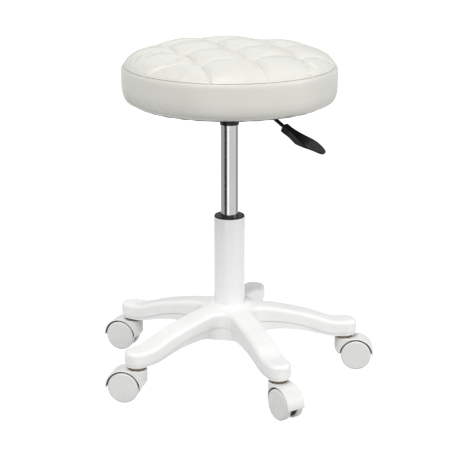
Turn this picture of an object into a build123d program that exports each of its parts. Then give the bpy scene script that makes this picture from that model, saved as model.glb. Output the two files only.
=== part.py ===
from build123d import *
import math
import os

# Pedicure stool: a round tufted seat on a gas lift, on a five-arm base with hooded twin-wheel casters.
# Millimetres. Origin on the floor under the column axis, +Z up, +X along the first base arm.
# The stool is modelled with its lift fully raised.

os.makedirs("parts", exist_ok=True)

# ---- driving dimensions ----
SLIP = 0.08                # radial clearance of running fits
SNUG = 0.04                # radial clearance of pieces that are pressed or screwed together
GAP = 0.3                  # clearance between faces that move past each other

ARM_COUNT = 5
STEM_CIRCLE_R = 194.0      # caster stems from the column axis
ARM_HALF_WIDTH = 19.5
ARM_ROOT_FILLET = 22.0     # plan fillet between neighbouring arms
ARM_EDGE_ROUND = 6.5
ARM_END_R = 225.0          # past the arm ends
HUB_TOP_Z = 122.5
HUB_BOTTOM_Z = 68.0
HUB_BOSS_R = 33.0
BASE_WALL = 3.6
BAND_INSET = 1.3           # the lower band of the arms stands this far inside the upper shell
RIB = 2.6
# Heights of the arm against the radius: its top, the moulded parting line and its lower edge.
ARM_TOP = [(38, 118.2), (80, 113), (112, 106), (150, 95), (184, 86)]
ARM_PART = [(40, 93), (91, 89.5), (127, 81), (164, 68), (184, 65.6)]
ARM_LOW = [(40, 70), (64, 75.3), (98, 76.5), (128, 72), (158, 63.6), (180, 60.8)]

TUBE_R = 25.0
TUBE_WALL = 1.6
TUBE_SEAT_R = 24.6         # the tube is turned down to this where it seats in the hub
TUBE_BOTTOM_Z = 69.0
TUBE_TOP_Z = 269.0
END_PLATE_T = 2.5
BUSH_DEPTH = 64.0
BUSH_RIM_T = 2.3
BUSH_RIM_R = 24.6
CYLINDER_R = 14.0
CYLINDER_WALL = 1.6
CYLINDER_BOTTOM_Z = 214.0
CYLINDER_TOP_Z = 437.0
CYLINDER_HEAD = 32.0       # solid valve head at the top of the cylinder
PISTON_ROD_R = 5.0
RACE_R = 12.0
RACE_T = 2.0
BALL_R = 2.5
BALL_COUNT = 9
VALVE_R = 4.0

LEVER_ANGLE = -43.0        # plan direction of the lift lever
LEVER_Z = 445.0
LEVER_PLAY = 0.35          # free travel of the lever before it meets the valve pin
LEVER_PIVOT_R = 30.0
LEVER_ROD_R = 3.0
PIVOT_PIN_R = 2.0
GRIP_LENGTH = 82.5
GRIP_DROOP = 22.3          # the grip hangs below the horizontal by this angle
GRIP_START_R = 107.0
GRIP_START_Z = 431.8
PLATE_HALF = 75.0
PLATE_T = 2.5
PLATE_Z = 456.2
SOCKET_R = 15.4
SOCKET_BOTTOM_Z = 422.0
BOLT_PITCH = 110.0
BOLT_R = 3.0

SEAT_R = 172.0
SEAM_R = 169.5
SEAM_Z = 519.5
SEAT_TOP_Z = 551.0
SKIN = 1.2
SEAT_BOTTOM_Z = 459.0
DUST_COVER_T = 0.8
BOARD_R = 155.0
BOARD_T = 12.0
BOARD_Z = SEAT_BOTTOM_Z + 2.4
BOARD_TOP_Z = BOARD_Z + BOARD_T

WHEEL_R = 25.0
CASTER_TRAIL = 20.0
WHEEL_INNER = 6.0          # wheel faces from the caster's middle plane
WHEEL_OUTER = 17.0
POCKET_R = 27.6
WEB_HALF = 5.2
HOOD_R = 29.4
HOOD_BOTTOM_Z = 24.0
HOOD_HALF_WIDTH = 16.2
STEM_R = 5.5
STEM_TOP_Z = 80.0
SHANK_R = 3.5
SHANK_BOTTOM_Z = 30.0
COLLAR_R = 13.0
AXLE_R = 3.0
# Trail direction of each caster, in degrees from +X: the five stand as a rolled stool leaves them.
CASTER_HEADINGS = {"1": -9.0, "2": 84.0, "3": 152.9, "4": 162.8, "5": -62.3}

hood_top_z = WHEEL_R + HOOD_R
arm_angles = [i * 360 / ARM_COUNT for i in range(ARM_COUNT)]
stem_points = [
    (STEM_CIRCLE_R * math.cos(math.radians(a)), STEM_CIRCLE_R * math.sin(math.radians(a)))
    for a in arm_angles
]


def save(piece, label):
    """Label a finished piece and write its STEP file."""
    piece.label = label
    export_step(piece, f"parts/{label}.step")


def ring(outer_r, inner_r, low_z, high_z):
    """Add a plain ring about the Z axis, or a disc when inner_r is 0, to the part being built."""
    with BuildSketch(Plane.XY.offset(low_z)) as section:
        Circle(outer_r)
        if inner_r > 0:
            Circle(inner_r, mode=Mode.SUBTRACT)
    extrude(section.sketch, amount=high_z - low_z)


# ---- five-arm base: one white nylon moulding, open and ribbed underneath ----
def arm_curve(points, lift=0.0):
    """Radial height curve of the arms, level beyond its last point. Returns its two end points."""
    moved = [(r, z + lift) for r, z in points]
    Spline(*moved, tangents=[(1, -0.05), (1, -0.03)])
    end = (ARM_END_R, moved[-1][1])
    Line(moved[-1], end)
    return moved[0], end


def height_at(points, r):
    """Height of an arm curve at radius r, by straight steps between its points."""
    for (r0, z0), (r1, z1) in zip(points, points[1:]):
        if r <= r1:
            return z0 + (z1 - z0) * (r - r0) / (r1 - r0)
    return points[-1][1]


def turned_layer(top_points, low_points, top_lift=0.0, low_lift=0.0, crown_z=None):
    """Solid of revolution between two arm height curves."""
    with BuildPart(mode=Mode.PRIVATE) as layer:
        with BuildSketch(Plane.XZ):
            with BuildLine():
                top_start, top_end = arm_curve(top_points, top_lift)
                low_start, low_end = arm_curve(low_points, low_lift)
                axis_z = crown_z or top_start[1]
                Polyline((0, axis_z), (30, axis_z), top_start)
                Line((0, low_start[1]), low_start)
                Line((0, low_start[1]), (0, axis_z))
                Line(top_end, low_end)
            make_face()
        revolve(axis=Axis.Z)
    return layer.part


with BuildSketch() as star_plan:
    Circle(HUB_BOSS_R)
    with PolarLocations(STEM_CIRCLE_R / 2, ARM_COUNT):
        Rectangle(STEM_CIRCLE_R, 2 * ARM_HALF_WIDTH)
    with PolarLocations(STEM_CIRCLE_R, ARM_COUNT):
        Circle(ARM_HALF_WIDTH)
    arm_roots = star_plan.vertices().filter_by(lambda v: math.hypot(v.X, v.Y) < 1.3 * HUB_BOSS_R)
    fillet(arm_roots, ARM_ROOT_FILLET)

with BuildSketch() as band_plan:
    add(star_plan.sketch)
    offset(amount=-BAND_INSET, kind=Kind.INTERSECTION)

with BuildSketch() as cavity_plan:
    add(star_plan.sketch)
    offset(amount=-(BAND_INSET + BASE_WALL), kind=Kind.INTERSECTION)


def on_top_edge(edge):
    """True for the outer edges where the top of the arms meets their sides."""
    p = edge @ 0.5
    r = math.hypot(p.X, p.Y)
    return r > 45 and p.Z > (height_at(ARM_TOP, r) + height_at(ARM_PART, r)) / 2


with BuildPart() as upper_shell:
    with BuildSketch():
        add(star_plan.sketch)
    extrude(amount=HUB_TOP_Z + 5)
    add(turned_layer(ARM_TOP, ARM_PART, crown_z=HUB_TOP_Z), mode=Mode.INTERSECT)
    fillet(upper_shell.edges().filter_by(on_top_edge), ARM_EDGE_ROUND)

with BuildPart() as lower_band:
    with BuildSketch():
        add(band_plan.sketch)
    extrude(amount=HUB_TOP_Z)
    add(turned_layer(ARM_PART, ARM_LOW, top_lift=1.0), mode=Mode.INTERSECT)

with BuildPart() as under_cavity:
    with BuildSketch():
        add(cavity_plan.sketch)
    extrude(amount=HUB_TOP_Z)
    add(turned_layer(ARM_TOP, ARM_LOW, top_lift=-BASE_WALL, low_lift=-5), mode=Mode.INTERSECT)

with BuildPart() as under_ribs:
    with BuildSketch():
        with PolarLocations(STEM_CIRCLE_R / 2, ARM_COUNT):
            Rectangle(STEM_CIRCLE_R, RIB)
        for rib_r in (66, 96, 126, 156):
            with PolarLocations(rib_r, ARM_COUNT):
                Rectangle(RIB, 2 * (ARM_HALF_WIDTH - BAND_INSET - 1))
        Circle(HUB_BOSS_R + 10)
        Circle(HUB_BOSS_R + 10 - RIB, mode=Mode.SUBTRACT)
    extrude(amount=HUB_TOP_Z)
    add(turned_layer(ARM_TOP, ARM_LOW, top_lift=-2, low_lift=1.5), mode=Mode.INTERSECT)

with BuildPart() as star_base:
    add(upper_shell.part)
    add(lower_band.part)
    add(under_cavity.part, mode=Mode.SUBTRACT)
    add(under_ribs.part)
    ring(HUB_BOSS_R, 0, HUB_BOTTOM_Z, HUB_TOP_Z - 2)
    socket_low = ARM_LOW[-1][1]
    with BuildSketch(Plane.XY.offset(socket_low)):
        with Locations(*stem_points):
            Circle(STEM_R + 5)
    extrude(amount=STEM_TOP_Z + 2 - socket_low)
    with BuildSketch(Plane.XY.offset(socket_low)):
        with Locations(*stem_points):
            Circle(STEM_R + 0.5)
    extrude(amount=STEM_TOP_Z + 0.5 - socket_low, mode=Mode.SUBTRACT)
    with BuildSketch(Plane.XY.offset(HUB_BOTTOM_Z)):
        Circle(TUBE_SEAT_R + SNUG)
    extrude(amount=HUB_TOP_Z, mode=Mode.SUBTRACT)
    with BuildSketch(Plane.XY.offset(HUB_BOTTOM_Z)):
        Circle(TUBE_R + 3)
    extrude(amount=5, mode=Mode.SUBTRACT)
save(star_base.part, "star_base")

with BuildPart() as hub_ring:
    ring(TUBE_R + 3 - SNUG, TUBE_SEAT_R + SNUG, HUB_BOTTOM_Z, HUB_BOTTOM_Z + 5 - SNUG)
save(hub_ring.part, "hub_ring")


# ---- column: white steel tube with a guide bush and a ball thrust bearing ----
with BuildPart() as column_tube:
    ring(TUBE_SEAT_R, TUBE_R - TUBE_WALL, TUBE_BOTTOM_Z, TUBE_TOP_Z)
    ring(TUBE_R, TUBE_R - TUBE_WALL, HUB_TOP_Z + SNUG, TUBE_TOP_Z)
save(column_tube.part, "column_tube")

plate_top_z = TUBE_BOTTOM_Z + END_PLATE_T
with BuildPart() as tube_end_plate:
    ring(TUBE_R - TUBE_WALL - SNUG, PISTON_ROD_R + SLIP, TUBE_BOTTOM_Z, plate_top_z)
save(tube_end_plate.part, "tube_end_plate")

with BuildPart() as guide_bush:
    ring(TUBE_R - TUBE_WALL - SNUG, CYLINDER_R + SLIP, TUBE_TOP_Z - BUSH_DEPTH, TUBE_TOP_Z)
    ring(BUSH_RIM_R, CYLINDER_R + SLIP, TUBE_TOP_Z + SNUG, TUBE_TOP_Z + BUSH_RIM_T)
    ring(TUBE_R - TUBE_WALL - SNUG, CYLINDER_R + SLIP, TUBE_TOP_Z, TUBE_TOP_Z + 1)
    rim = guide_bush.edges().filter_by(GeomType.CIRCLE).group_by(Axis.Z)[-1].sort_by(SortBy.RADIUS)
    fillet(rim[-1], 1.2)
save(guide_bush.part, "guide_bush")

lower_race_z = plate_top_z + SNUG
ball_z = lower_race_z + RACE_T + BALL_R + 0.15
upper_race_z = ball_z + BALL_R + 0.15
ball_circle_r = (RACE_R + PISTON_ROD_R) / 2
with BuildPart() as bearing_race_lower:
    ring(RACE_R, PISTON_ROD_R + GAP, lower_race_z, lower_race_z + RACE_T)
save(bearing_race_lower.part, "bearing_race_lower")

with BuildPart() as bearing_balls:
    with Locations((0, 0, ball_z)):
        with PolarLocations(ball_circle_r, BALL_COUNT):
            Sphere(BALL_R)
save(bearing_balls.part, "bearing_balls")

with BuildPart() as bearing_race_upper:
    ring(RACE_R, PISTON_ROD_R + SNUG, upper_race_z, upper_race_z + RACE_T)
save(bearing_race_upper.part, "bearing_race_upper")

bump_z = upper_race_z + RACE_T + SNUG
with BuildPart() as bump_stop:
    ring(RACE_R, PISTON_ROD_R + SNUG, bump_z, bump_z + 9)
    fillet(bump_stop.edges().filter_by(GeomType.CIRCLE).group_by(Axis.Z)[-1], 1.5)
save(bump_stop.part, "bump_stop")

# ---- gas lift: rod clipped to the column, chrome cylinder carrying the seat ----
groove_z = TUBE_BOTTOM_Z - 1.8
piston_z = CYLINDER_BOTTOM_Z + 20
with BuildPart() as piston_rod:
    ring(PISTON_ROD_R, 0, TUBE_BOTTOM_Z - 4, piston_z + 18)
    chamfer(piston_rod.edges().filter_by(GeomType.CIRCLE), 0.6)
    with BuildSketch(Plane.XY.offset(groove_z)):
        Circle(PISTON_ROD_R + 1)
        Circle(PISTON_ROD_R - 1, mode=Mode.SUBTRACT)
    extrude(amount=1.3, mode=Mode.SUBTRACT)
save(piston_rod.part, "piston_rod")

with BuildPart() as retaining_clip:
    with BuildSketch(Plane.XY.offset(groove_z + SNUG)):
        Circle(PISTON_ROD_R + 3)
        Circle(PISTON_ROD_R - 1 + SNUG, mode=Mode.SUBTRACT)
        with Locations((PISTON_ROD_R + 3, 0)):
            Rectangle(2 * PISTON_ROD_R, 1.3 * PISTON_ROD_R, mode=Mode.SUBTRACT)
    extrude(amount=1.2)
save(retaining_clip.part, "retaining_clip")

cylinder_bore_r = CYLINDER_R - CYLINDER_WALL
with BuildPart() as piston_head:
    ring(cylinder_bore_r - GAP, PISTON_ROD_R + SNUG, piston_z, piston_z + 14)
    with BuildSketch(Plane.XY.offset(piston_z + 5.5)):
        Circle(CYLINDER_R)
        Circle(cylinder_bore_r - 2, mode=Mode.SUBTRACT)
    extrude(amount=3, mode=Mode.SUBTRACT)
save(piston_head.part, "piston_head")

lip_top_z = CYLINDER_BOTTOM_Z + 2
head_z = CYLINDER_TOP_Z - CYLINDER_HEAD
with BuildPart() as gas_cylinder:
    with BuildSketch(Plane.XZ):
        with BuildLine():
            Polyline(
                (PISTON_ROD_R + 1.5, CYLINDER_BOTTOM_Z),
                (CYLINDER_R - 1, CYLINDER_BOTTOM_Z),
                (CYLINDER_R, CYLINDER_BOTTOM_Z + 1),
                (CYLINDER_R, CYLINDER_TOP_Z - 1),
                (CYLINDER_R - 1, CYLINDER_TOP_Z),
                (VALVE_R + SLIP, CYLINDER_TOP_Z),
                (VALVE_R + SLIP, head_z),
                (cylinder_bore_r, head_z),
                (cylinder_bore_r, lip_top_z),
                (PISTON_ROD_R + 1.5, lip_top_z),
                close=True,
            )
        make_face()
    revolve(axis=Axis.Z)
save(gas_cylinder.part, "gas_cylinder")

with BuildPart() as rod_seal:
    ring(cylinder_bore_r - SNUG, PISTON_ROD_R + SLIP, lip_top_z + SNUG, piston_z - 2)
save(rod_seal.part, "rod_seal")

valve_top_z = LEVER_Z - LEVER_ROD_R - LEVER_PLAY
with BuildPart() as release_pin:
    ring(VALVE_R, 0, head_z + 4, valve_top_z)
    fillet(release_pin.edges().filter_by(GeomType.CIRCLE).group_by(Axis.Z)[-1], 2.4)
save(release_pin.part, "release_pin")


# ---- lever mechanism under the seat, in a frame whose X axis points along the lever ----
lever_frame = Plane.XY.rotated((0, 0, LEVER_ANGLE))
lever_side = Plane(origin=(0, 0, 0), x_dir=lever_frame.x_dir, z_dir=-lever_frame.y_dir)
bolt_spots = GridLocations(BOLT_PITCH, BOLT_PITCH, 2, 2).locations
EAR_INNER = 5.3
EAR_T = 2.5

with BuildPart() as seat_plate:
    with BuildSketch(lever_frame.offset(PLATE_Z)):
        RectangleRounded(2 * PLATE_HALF, 2 * PLATE_HALF, 14)
        Circle(CYLINDER_R, mode=Mode.SUBTRACT)
        with Locations(*bolt_spots):
            Circle(BOLT_R + 0.3, mode=Mode.SUBTRACT)
    extrude(amount=PLATE_T)
    with BuildSketch(lever_frame.offset(SOCKET_BOTTOM_Z)):
        Circle(SOCKET_R)
        Circle(CYLINDER_R + SNUG, mode=Mode.SUBTRACT)
    extrude(amount=PLATE_Z - SOCKET_BOTTOM_Z)
    for side in (-1, 1):
        with BuildSketch(lever_side.offset(side * (EAR_INNER + EAR_T / 2))):
            with BuildLine():
                Polyline(
                    (SOCKET_R - 2, PLATE_Z), (SOCKET_R - 2, LEVER_Z - 14), (LEVER_PIVOT_R + 6, LEVER_Z - 9),
                    (LEVER_PIVOT_R + 14, PLATE_Z), close=True,
                )
            make_face()
        extrude(amount=EAR_T / 2, both=True)
    with BuildSketch(lever_side):
        with Locations((LEVER_PIVOT_R, LEVER_Z)):
            Circle(PIVOT_PIN_R + SNUG)
    extrude(amount=20, both=True, mode=Mode.SUBTRACT)
    with BuildSketch(lever_frame.offset(LEVER_Z - 7)):
        with Locations((SOCKET_R, 0)):
            Rectangle(2 * (SOCKET_R - CYLINDER_R) + 4, 2 * LEVER_ROD_R + 2)
    extrude(amount=PLATE_Z - LEVER_Z + 7, mode=Mode.SUBTRACT)
    with BuildSketch():
        Circle(CYLINDER_R + SNUG)
    extrude(amount=PLATE_Z, mode=Mode.SUBTRACT)
save(seat_plate.part, "seat_plate")

with BuildPart() as lever_pivot:
    with BuildSketch(lever_side):
        with Locations((LEVER_PIVOT_R, LEVER_Z)):
            Circle(PIVOT_PIN_R)
    extrude(amount=EAR_INNER + EAR_T + 1, both=True)
save(lever_pivot.part, "lever_pivot")

# The rod runs level from over the valve pin, bends down past the plate and ends inside the grip.
droop = math.radians(GRIP_DROOP)
grip_dir = (math.cos(droop), -math.sin(droop))
bend_in = (GRIP_START_R + 4 * grip_dir[0], GRIP_START_Z + 4 * grip_dir[1])
rod_end = (GRIP_START_R + 26 * grip_dir[0], GRIP_START_Z + 26 * grip_dir[1])
with BuildPart() as lever_rod:
    with BuildLine(lever_side) as rod_path:
        FilletPolyline((-6, LEVER_Z), (85, LEVER_Z), bend_in, rod_end, radius=9)
    with BuildSketch(Plane(origin=rod_path.line @ 0, z_dir=rod_path.line % 0)):
        Circle(LEVER_ROD_R)
    sweep(path=rod_path.line)
    with BuildSketch(lever_side):
        with Locations((LEVER_PIVOT_R, LEVER_Z)):
            Circle(PIVOT_PIN_R + 3)
    extrude(amount=EAR_INNER - GAP, both=True)
    with BuildSketch(lever_side):
        with Locations((LEVER_PIVOT_R, LEVER_Z)):
            Circle(PIVOT_PIN_R + SLIP)
    extrude(amount=EAR_INNER, both=True, mode=Mode.SUBTRACT)
save(lever_rod.part, "lever_rod")

# Grip: a square collar round the rod, a belly for the fingers below, and a wide flat head with a shallow dish.
grip_origin = lever_side.from_local_coords(Vector(GRIP_START_R, GRIP_START_Z, 0))
grip_ahead = lever_side.from_local_coords(Vector(GRIP_START_R + grip_dir[0], GRIP_START_Z + grip_dir[1], 0))
grip_plan = Plane(origin=grip_origin, x_dir=grip_ahead - grip_origin, z_dir=(
    (grip_ahead - grip_origin).cross(lever_side.z_dir)))
grip_elevation = Plane(origin=grip_origin, x_dir=grip_ahead - grip_origin, z_dir=lever_side.z_dir)
GRIP_HALF = [(0, 6.4), (12, 6.2), (22, 7.4), (34, 11.0), (50, 15.0), (63, 14.4)]
GRIP_UPPER = [(0, 6.1), (12, 4.9), (24, 4.3), (36, 3.6), (52, 3.6), (68, 2.8), (GRIP_LENGTH + 2, 2.6)]
GRIP_LOWER = [(0, -6.7), (12, -7.6), (24, -8.3), (34, -8.6), (44, -6.2), (54, -3.4), (GRIP_LENGTH + 2, -2.6)]
GRIP_EDGE_R = 1.5
DISH_FLOOR = 2.0
DISH_CENTRE = 61.0
with BuildPart() as lever_grip:
    with BuildSketch(grip_plan):
        with BuildLine() as half_outline:
            side_curve = Spline(*GRIP_HALF, tangents=[(1, 0), (1, -0.16)])
            nose = Spline(side_curve @ 1, (76.5, 9.6), (GRIP_LENGTH, 0), tangents=[(1, -0.16), (0, -1)])
            Line((0, 0), side_curve @ 0)
            mirror(half_outline.line, about=Plane.XZ)
        make_face()
    extrude(amount=12, both=True)
    with BuildPart(mode=Mode.PRIVATE) as grip_thickness:
        with BuildSketch(grip_elevation):
            with BuildLine():
                upper = Spline(*GRIP_UPPER)
                lower = Spline(*GRIP_LOWER)
                Line(upper @ 0, lower @ 0)
                Line(upper @ 1, lower @ 1)
            make_face()
        extrude(amount=18, both=True)
    add(grip_thickness.part, mode=Mode.INTERSECT)
    fillet(lever_grip.edges(), GRIP_EDGE_R)
    with BuildSketch(grip_plan.offset(DISH_FLOOR)):
        with Locations((DISH_CENTRE, 0)):
            Ellipse(16.5, 10.5)
    extrude(amount=6, mode=Mode.SUBTRACT)
    add(lever_rod.part, mode=Mode.SUBTRACT)
save(lever_grip.part, "lever_grip")

with BuildPart() as plate_bolts:
    for spot in bolt_spots:
        with BuildSketch(lever_frame.offset(PLATE_Z - 4 - SNUG)):
            with Locations(spot):
                RegularPolygon(5, 6)
        extrude(amount=4)
        with BuildSketch(lever_frame.offset(PLATE_Z - 1)):
            with Locations(spot):
                Circle(BOLT_R)
        extrude(amount=BOARD_TOP_Z - PLATE_Z)
save(plate_bolts.part, "plate_bolts")


# ---- seat: plywood board, foam and a two-panel cover ----
def on_board(low_z, high_z, radius, mode=Mode.SUBTRACT):
    """Four round holes or pegs at the bolt spots."""
    with BuildSketch(lever_frame.offset(low_z)) as section:
        with Locations(*bolt_spots):
            Circle(radius)
    extrude(section.sketch, amount=high_z - low_z, mode=mode)


flange_z = BOARD_TOP_Z - 1.4
with BuildPart() as seat_board:
    ring(BOARD_R, 0, BOARD_Z, BOARD_TOP_Z)
    on_board(BOARD_Z, BOARD_TOP_Z, 4.2)
    on_board(flange_z - SNUG, BOARD_TOP_Z, 9.1)
save(seat_board.part, "seat_board")

with BuildPart() as tee_nuts:
    on_board(BOARD_Z + 1, flange_z + 1, 4.2 - SNUG, mode=Mode.ADD)
    on_board(flange_z, BOARD_TOP_Z - 0.1, 9.0, mode=Mode.ADD)
    on_board(BOARD_Z, BOARD_TOP_Z, BOLT_R + SNUG)
save(tee_nuts.part, "tee_nuts")

with BuildPart() as dust_cover:
    ring(BOARD_R - 3, 0, SEAT_BOTTOM_Z, SEAT_BOTTOM_Z + DUST_COVER_T)
    on_board(SEAT_BOTTOM_Z, SEAT_BOTTOM_Z + DUST_COVER_T, BOLT_R + 1)
save(dust_cover.part, "dust_cover")

CROWN = [(0, SEAT_TOP_Z), (62, SEAT_TOP_Z - 0.8), (125, SEAT_TOP_Z - 8.5), (157, SEAM_Z + 10), (SEAM_R, SEAM_Z)]
wrap_z = SEAT_BOTTOM_Z + DUST_COVER_T + SNUG
SIDE = [(SEAM_R, SEAM_Z), (SEAT_R, 492), (SEAT_R - 3.5, 472), (BOARD_R + 4, wrap_z + 1.4), (BOARD_R - 8, wrap_z)]


def moved_in(points, dr, dz):
    """The points of a seat profile moved towards the axis by dr and down by dz."""
    return [(max(r - dr, 0), z - dz) for r, z in points]


with BuildPart() as cover_top:
    with BuildSketch(Plane.XZ):
        with BuildLine():
            outer = Spline(*CROWN, tangents=[(1, 0), (0.6, -1)])
            inner = Spline(*moved_in(CROWN, SKIN, SKIN), tangents=[(1, 0), (0.6, -1)])
            Line(outer @ 0, inner @ 0)
            Line(outer @ 1, inner @ 1)
        make_face()
    revolve(axis=Axis.Z)
save(cover_top.part, "cover_top")

with BuildPart() as cover_band:
    with BuildSketch(Plane.XZ):
        with BuildLine():
            side_out = moved_in(SIDE[:1], 0, SKIN + GAP) + SIDE[1:]
            side_in = moved_in(side_out[:-1], SKIN, 0)[:-1] + [
                (BOARD_R + 3.2, wrap_z + 2.5), (BOARD_R - 8, wrap_z + SKIN)]
            outer = Spline(*side_out, tangents=[(0.1, -1), (-1, 0)])
            inner = Spline(*side_in, tangents=[(0.1, -1), (-1, 0)])
            Line(outer @ 0, inner @ 0)
            Line(outer @ 1, inner @ 1)
        make_face()
    revolve(axis=Axis.Z)
save(cover_band.part, "cover_band")

with BuildPart() as foam_pad:
    with BuildSketch(Plane.XZ):
        with BuildLine():
            crown = Spline(*moved_in(CROWN, 2 * SKIN, 2 * SKIN), tangents=[(1, 0), (0.6, -1)])
            side = Spline(crown @ 1, (SEAT_R - 2 * SKIN, 492), (SEAT_R - 5 - SKIN, BOARD_TOP_Z + 1))
            Polyline(side @ 1, (BOARD_R, BOARD_TOP_Z + SNUG), (0, BOARD_TOP_Z + SNUG), crown @ 0)
        make_face()
    revolve(axis=Axis.Z)
save(foam_pad.part, "foam_pad")


# ---- caster pieces, each made once about its own stem: X along the trail, wheel axis along Y ----
axle_x = CASTER_TRAIL
with BuildPart() as hood_form:
    with BuildSketch(Plane.XZ):
        with BuildLine():
            rear = (axle_x + math.sqrt(HOOD_R**2 - (WHEEL_R - HOOD_BOTTOM_Z) ** 2), HOOD_BOTTOM_Z)
            fender = RadiusArc((axle_x, hood_top_z), rear, HOOD_R)
            front = Polyline((axle_x, hood_top_z), (-HOOD_HALF_WIDTH, hood_top_z), (-HOOD_HALF_WIDTH, 38))
            chin = TangentArc(front @ 1, (-9.5, 27), tangent=(0, -1))
            Polyline(chin @ 1, (-8, HOOD_BOTTOM_Z), rear)
        make_face()
    extrude(amount=HOOD_HALF_WIDTH, both=True)
    with BuildPart(mode=Mode.PRIVATE) as hood_plan:
        with BuildSketch():
            Circle(HOOD_HALF_WIDTH)
            with Locations((30, 0)):
                Rectangle(60, 2 * HOOD_HALF_WIDTH)
        extrude(amount=60)
    add(hood_plan.part, mode=Mode.INTERSECT)
    fillet(hood_form.edges().group_by(Axis.Z)[-1], 1.6)
    for side in (-1, 1):
        with BuildSketch(Plane.XZ.offset(side * WEB_HALF)):
            with Locations((axle_x, WHEEL_R)):
                Circle(POCKET_R)
        extrude(amount=side * HOOD_HALF_WIDTH, mode=Mode.SUBTRACT)
    with BuildSketch(Plane.XZ):
        with Locations((axle_x, WHEEL_R)):
            Circle(AXLE_R + 5)
    extrude(amount=WEB_HALF, both=True)
    with BuildSketch(Plane.XZ):
        with Locations((axle_x, WHEEL_R)):
            Circle(AXLE_R + SNUG)
    extrude(amount=HOOD_HALF_WIDTH, both=True, mode=Mode.SUBTRACT)
    with BuildSketch(Plane.XY.offset(SHANK_BOTTOM_Z - 1)):
        Circle(SHANK_R + SLIP)
    extrude(amount=hood_top_z, mode=Mode.SUBTRACT)

with BuildPart() as axle_form:
    with BuildSketch(Plane.XZ):
        with Locations((axle_x, WHEEL_R)):
            Circle(AXLE_R)
    extrude(amount=WHEEL_OUTER - 3.2, both=True)

# Wheel shell: a white cup with a rounded rim. Its heights count outwards from the middle plane.
DISC_T = 2.6
TREAD_T = 3.2
RIM_ROUND = 2.8
with BuildPart() as wheel_form:
    with BuildSketch(Plane.XZ):
        with BuildLine():
            rim_arc = RadiusArc(
                (WHEEL_R - RIM_ROUND, WHEEL_OUTER), (WHEEL_R, WHEEL_OUTER - RIM_ROUND), RIM_ROUND)
            Polyline(
                rim_arc @ 1, (WHEEL_R, WHEEL_INNER + 1), (WHEEL_R - 1, WHEEL_INNER),
                (WHEEL_R - TREAD_T, WHEEL_INNER), (WHEEL_R - TREAD_T, WHEEL_OUTER - DISC_T),
                (0, WHEEL_OUTER - DISC_T), (0, WHEEL_OUTER), rim_arc @ 0,
            )
        make_face()
    revolve(axis=Axis.Z)

core_rim_r = WHEEL_R - TREAD_T - SNUG
core_top = WHEEL_OUTER - DISC_T - SNUG
with BuildPart() as core_form:
    ring(AXLE_R + 4, AXLE_R + SLIP, WHEEL_INNER - 0.4, core_top)
    ring(core_rim_r, AXLE_R + SLIP, WHEEL_INNER + 2, WHEEL_INNER + 4)
    ring(core_rim_r, core_rim_r - 2, WHEEL_INNER, core_top)

stem_pieces = {}
caster_places = {}
for (name, heading), (x, y) in zip(CASTER_HEADINGS.items(), stem_points):
    caster_places[name] = Location((x, y, 0), (0, 0, heading))

for name, place in caster_places.items():
    with BuildPart() as caster_hood:
        with Locations(place):
            add(hood_form.part)
    save(caster_hood.part, f"caster_{name}_hood")
    with BuildPart() as caster_axle:
        with Locations(place):
            add(axle_form.part)
    save(caster_axle.part, f"caster_{name}_axle")
    for side, turn in (("left", -90), ("right", 90)):
        wheel_place = place * Location((axle_x, 0, WHEEL_R), (turn, 0, 0))
        with BuildPart() as caster_wheel:
            with Locations(wheel_place):
                add(wheel_form.part)
        save(caster_wheel.part, f"caster_{name}_wheel_{side}")
        with BuildPart() as caster_core:
            with Locations(wheel_place):
                add(core_form.part)
        save(caster_core.part, f"caster_{name}_core_{side}")

# ---- stems, fixed in the arms; the hoods turn on their lower shanks ----
collar_z = hood_top_z + GAP
with BuildPart() as caster_stems:
    for x, y in stem_points:
        with Locations((x, y, SHANK_BOTTOM_Z)):
            Cylinder(SHANK_R, collar_z - SHANK_BOTTOM_Z + 1, align=(Align.CENTER, Align.CENTER, Align.MIN))
        with Locations((x, y, collar_z)):
            Cylinder(STEM_R, STEM_TOP_Z - collar_z, align=(Align.CENTER, Align.CENTER, Align.MIN))
save(caster_stems.part, "caster_stems")

with BuildPart() as stem_collars:
    with BuildSketch(Plane.XY.offset(collar_z)):
        with Locations(*stem_points):
            Circle(COLLAR_R)
            Circle(STEM_R + SNUG, mode=Mode.SUBTRACT)
    extrude(amount=socket_low - collar_z - SNUG)
save(stem_collars.part, "stem_collars")

with BuildPart() as stem_grip_rings:
    with BuildSketch(Plane.XY.offset(STEM_TOP_Z - 9)):
        with Locations(*stem_points):
            Circle(STEM_R + 0.5 - SNUG)
            Circle(STEM_R + SNUG, mode=Mode.SUBTRACT)
    extrude(amount=5)
save(stem_grip_rings.part, "stem_grip_rings")
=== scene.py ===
"""The looks of a round tufted stool on five casters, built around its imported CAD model."""

import math

import bmesh
import bpy
import numpy as np
from mathutils import Matrix, Vector, noise
from mathutils.bvhtree import BVHTree
from mathutils.kdtree import KDTree


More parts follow.
